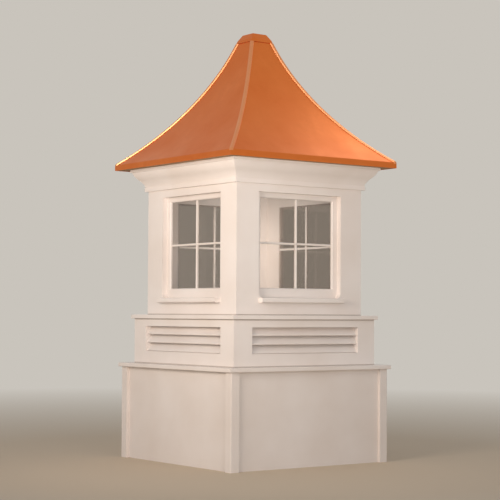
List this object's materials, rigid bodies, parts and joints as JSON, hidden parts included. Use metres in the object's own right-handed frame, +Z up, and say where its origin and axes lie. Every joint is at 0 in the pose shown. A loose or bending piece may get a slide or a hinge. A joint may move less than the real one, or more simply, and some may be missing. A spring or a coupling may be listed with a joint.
{
  "type": "roof cupola",
  "caption": "Square roof cupola in white PVC with a panelled base, a louvered stage, a windowed stage and a concave copper roof",
  "frame": {"origin": "middle of the base's bottom face", "axes": "+Z up, -Y out of the front; the four sides are alike"},
  "size_m": [0.976, 0.976, 2.055],
  "materials": {
    "white_pvc": "satin extruded white PVC board",
    "copper": "new copper sheet, mill finish",
    "clear_glass": "clear glass",
    "plywood": "bare plywood"
  },
  "bodies": {
    "root": {"front_base_panel": "white_pvc", "front_louver_wall": "white_pvc", "front_louver_blades": "white_pvc", "front_window_wall": "white_pvc", "front_window_sash": "white_pvc", "front_window_glass": "clear_glass", "front_window_sill": "white_pvc", "front_crown": "white_pvc", "front_roof_panel": "copper", "right_base_panel": "white_pvc", "right_louver_wall": "white_pvc", "right_louver_blades": "white_pvc", "right_window_wall": "white_pvc", "right_window_sash": "white_pvc", "right_window_glass": "clear_glass", "right_window_sill": "white_pvc", "right_crown": "white_pvc", "right_roof_panel": "copper", "back_base_panel": "white_pvc", "back_louver_wall": "white_pvc", "back_louver_blades": "white_pvc", "back_window_wall": "white_pvc", "back_window_sash": "white_pvc", "back_window_glass": "clear_glass", "back_window_sill": "white_pvc", "back_crown": "white_pvc", "back_roof_panel": "copper", "left_base_panel": "white_pvc", "left_louver_wall": "white_pvc", "left_louver_blades": "white_pvc", "left_window_wall": "white_pvc", "left_window_sash": "white_pvc", "left_window_glass": "clear_glass", "left_window_sill": "white_pvc", "left_crown": "white_pvc", "left_roof_panel": "copper", "front_right_corner_board": "white_pvc", "back_right_corner_board": "white_pvc", "back_left_corner_board": "white_pvc", "front_left_corner_board": "white_pvc", "base_cap": "white_pvc", "louver_cap": "white_pvc", "roof_deck": "plywood", "hip_seams": "copper", "roof_cap": "copper"}
  },
  "joints": []
}
